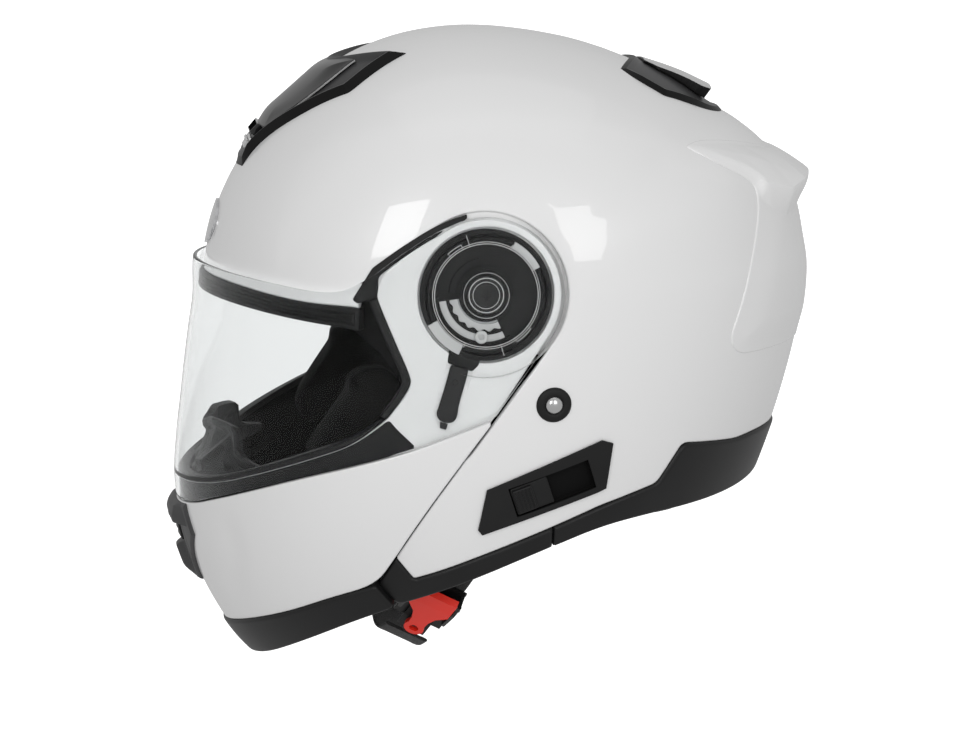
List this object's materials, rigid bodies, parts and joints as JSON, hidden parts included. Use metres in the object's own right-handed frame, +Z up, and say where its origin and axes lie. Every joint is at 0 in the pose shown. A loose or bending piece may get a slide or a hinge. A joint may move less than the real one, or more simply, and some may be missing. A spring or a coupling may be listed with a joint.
{
  "type": "modular motorcycle helmet",
  "caption": "Modular full-face motorcycle helmet with lifting chin bar, clear visor, drop-down inner sun visor, sliding vents and ratchet chin-strap buckle.",
  "frame": {"origin": "centre of the head space, where the chin-bar and visor axis crosses the plane of symmetry", "axes": "+X to the wearer's left, -Y the front, +Z up, with the helmet as worn"},
  "size_m": [0.248, 0.3115, 0.3034],
  "materials": {
    "shell_white": "gloss white lacquer over the moulded shell",
    "gloss_black": "gloss black moulded plastic",
    "satin_black": "satin black moulded plastic",
    "matte_black": "fine textured matte black plastic",
    "grey_plastic": "smoked grey translucent plastic",
    "clear": "clear hard-coated polycarbonate",
    "smoke": "smoked polycarbonate",
    "eps": "black expanded polystyrene foam",
    "lining": "brushed knit fabric over foam",
    "rubber": "black sealing rubber",
    "steel": "bright plated steel",
    "webbing": "black woven webbing",
    "red": "red moulded plastic",
    "badge": "plain silver-grey plate"
  },
  "bodies": {
    "shell": {"outer_shell": "shell_white", "eps_liner": "eps", "crown_liner": "lining", "cheek_pad_left": "lining", "cheek_pad_right": "lining", "neck_roll": "lining", "base_trim_front_left": "satin_black", "base_trim_front_right": "satin_black", "base_trim_rear": "satin_black", "brow_gasket": "rubber", "forehead_vent_base": "gloss_black", "rear_vent_base": "gloss_black", "rear_spoiler": "shell_white", "badge_plate": "badge", "rivet_washers": "satin_black", "rivets": "steel", "sun_visor_track": "matte_black", "sun_visor_pivots": "satin_black", "pivot_bolts": "steel", "pivot_nuts": "steel", "strap_left": "webbing", "strap_right": "webbing", "buckle_frame": "steel", "buckle_pin": "steel", "latch_strikers": "steel"},
    "chin_bar": {"chin_bar_shell": "shell_white", "chin_bar_liner": "eps", "chin_trim": "satin_black", "chin_vent_cover": "shell_white", "chin_sill_gasket": "rubber", "side_gasket_left": "rubber", "side_gasket_right": "rubber", "breath_deflector": "matte_black", "latch_housing": "satin_black", "latch_cables": "satin_black", "latch_pivots": "steel", "gear_plate_left": "satin_black", "gear_plate_right": "satin_black", "visor_release_pins": "steel"},
    "visor": {"visor": "clear"},
    "forehead_vent": {"forehead_vent_slider": "grey_plastic"},
    "rear_vent": {"rear_vent_flap": "grey_plastic"},
    "chin_vent": {"chin_vent_shutter": "satin_black"},
    "sun_visor": {"sun_visor": "smoke"},
    "sun_visor_slider": {"sun_visor_slider": "matte_black"},
    "release_button": {"release_button": "red"},
    "latch_left": {"latch_hook_left": "steel"},
    "latch_right": {"latch_hook_right": "steel"},
    "visor_release_left": {"visor_release_left": "satin_black"},
    "visor_release_right": {"visor_release_right": "satin_black"},
    "buckle_lever": {"buckle_lever": "red"},
    "buckle_tongue": {"ratchet_tongue": "matte_black"}
  },
  "joints": [
    {"name": "chin_bar_lift", "type": "hinge", "parent": "shell", "child": "chin_bar", "pos_m": [0, 0, 0], "axis": [-1, 0, 0], "range_deg": [0, 72]},
    {"name": "visor_lift", "type": "hinge", "parent": "chin_bar", "child": "visor", "pos_m": [0, 0, 0], "axis": [-1, 0, 0], "range_deg": [0, 32]},
    {"name": "forehead_vent_slide", "type": "hinge", "parent": "shell", "child": "forehead_vent", "pos_m": [0, 0, 0], "axis": [-1, 0, 0], "range_deg": [0, 4]},
    {"name": "rear_vent_slide", "type": "slide", "parent": "shell", "child": "rear_vent", "axis": [0, -0.856, 0.517], "range_m": [0, 0.006]},
    {"name": "chin_vent_slide", "type": "slide", "parent": "chin_bar", "child": "chin_vent", "axis": [0, 0, -1], "range_m": [0, 0.004]},
    {"name": "sun_visor_drop", "type": "hinge", "parent": "shell", "child": "sun_visor", "pos_m": [0, 0, 0], "axis": [1, 0, 0], "range_deg": [0, 42]},
    {"name": "sun_visor_slider_slide", "type": "slide", "parent": "shell", "child": "sun_visor_slider", "axis": [-0.0602, 0.9438, 0.325], "range_m": [0, 0.0185]},
    {"name": "release_button_press", "type": "slide", "parent": "chin_bar", "child": "release_button", "axis": [0, 0, 1], "range_m": [0, 0.0035], "stiffness_N_per_m": 250, "springref_m": -0.001},
    {"name": "latch_hook_left_turn", "type": "hinge", "parent": "chin_bar", "child": "latch_left", "pos_m": [0.0855, -0.068, -0.124], "axis": [-1, 0, 0], "range_deg": [0, 12.5]},
    {"name": "latch_hook_right_turn", "type": "hinge", "parent": "chin_bar", "child": "latch_right", "pos_m": [-0.0855, -0.068, -0.124], "axis": [-1, 0, 0], "range_deg": [0, 12.5]},
    {"name": "visor_release_left_turn", "type": "hinge", "parent": "chin_bar", "child": "visor_release_left", "pos_m": [0.1175, -0.011, -0.035], "axis": [1, 0, 0], "range_deg": [0, 5], "stiffness_Nm_per_rad": 0.04, "springref_deg": -5.73},
    {"name": "visor_release_right_turn", "type": "hinge", "parent": "chin_bar", "child": "visor_release_right", "pos_m": [-0.1175, -0.011, -0.035], "axis": [1, 0, 0], "range_deg": [0, 5], "stiffness_Nm_per_rad": 0.04, "springref_deg": -5.73},
    {"name": "buckle_lever_open", "type": "hinge", "parent": "shell", "child": "buckle_lever", "pos_m": [0.07395, -0.01897, -0.15009], "axis": [0, -0.8945, 0.447], "range_deg": [0, 40], "stiffness_Nm_per_rad": 0.05, "springref_deg": -8.59},
    {"name": "buckle_tongue_slide", "type": "slide", "parent": "shell", "child": "buckle_tongue", "axis": [-0.7001, -0.3192, -0.6388], "range_m": [0, 0.022], "deforming": ["strap_right"]}
  ],
  "couplings": [
    {"joint": "sun_visor_slider_slide", "follows": "sun_visor_drop", "m_per_rad": 0.02456},
    {"joint": "latch_hook_left_turn", "follows": "release_button_press", "rad_per_m": 59.8},
    {"joint": "latch_hook_right_turn", "follows": "release_button_press", "rad_per_m": 59.8}
  ]
}
